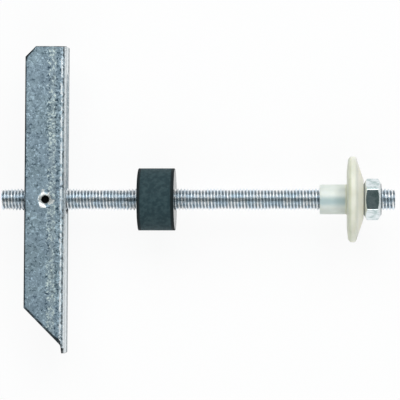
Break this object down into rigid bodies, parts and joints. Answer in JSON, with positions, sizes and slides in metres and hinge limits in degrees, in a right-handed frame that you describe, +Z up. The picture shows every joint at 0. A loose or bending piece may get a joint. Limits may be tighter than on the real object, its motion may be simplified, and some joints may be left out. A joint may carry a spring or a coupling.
{
  "type": "toggle anchor",
  "caption": "Gravity toggle anchor for hollow walls: folded steel channel pivoting on a threaded rod, with a rubber collar, a flanged nylon bush and a hexagon nut.",
  "frame": {"origin": "under the middle of the rod, on the surface the bush's rim rests on", "axes": "+X along the rod from the channel to the nut, +Y along the channel towards its square end, +Z up"},
  "size_m": [0.18, 0.1401, 0.0392],
  "materials": {
    "galvanised_sheet": "galvanised, fine spangle",
    "zinc_barrel": "zinc plated",
    "zinc_thread": "bright zinc plated",
    "black_rubber": "matt",
    "ivory_nylon": "satin, slightly translucent",
    "zinc_nut": "bright zinc plated"
  },
  "bodies": {
    "channel": {"toggle_channel": "galvanised_sheet"},
    "pivot": {"pivot_nut": "zinc_barrel"},
    "rod": {"threaded_rod": "zinc_thread"},
    "collar": {"rubber_collar": "black_rubber"},
    "bush": {"flanged_bush": "ivory_nylon"},
    "nut": {"hex_nut": "zinc_nut"}
  },
  "joints": [
    {"name": "toggle_fold", "type": "hinge", "parent": "channel", "child": "pivot", "pos_m": [-0.0693, 0, 0.0196], "axis": [0, 0, 1], "range_deg": [-4, 74]},
    {"name": "rod_turn", "type": "hinge", "parent": "pivot", "child": "rod", "pos_m": [-0.0693, 0, 0.0196], "axis": [1, 0, 0], "continuous": true},
    {"name": "collar_slide", "type": "slide", "parent": "rod", "child": "collar", "axis": [1, 0, 0], "range_m": [-0.002, 0.03]},
    {"name": "bush_slide", "type": "slide", "parent": "rod", "child": "bush", "axis": [1, 0, 0], "range_m": [-0.0305, 0.005]},
    {"name": "nut_spin", "type": "hinge", "parent": "bush", "child": "nut", "pos_m": [0.0757, 0, 0.0196], "axis": [1, 0, 0], "range_deg": [-7200, 1080]}
  ],
  "couplings": [
    {"joint": "collar_slide", "follows": "toggle_fold", "m_per_rad": 0.0225},
    {"joint": "bush_slide", "follows": "nut_spin", "m_per_rad": 0.00023873}
  ]
}
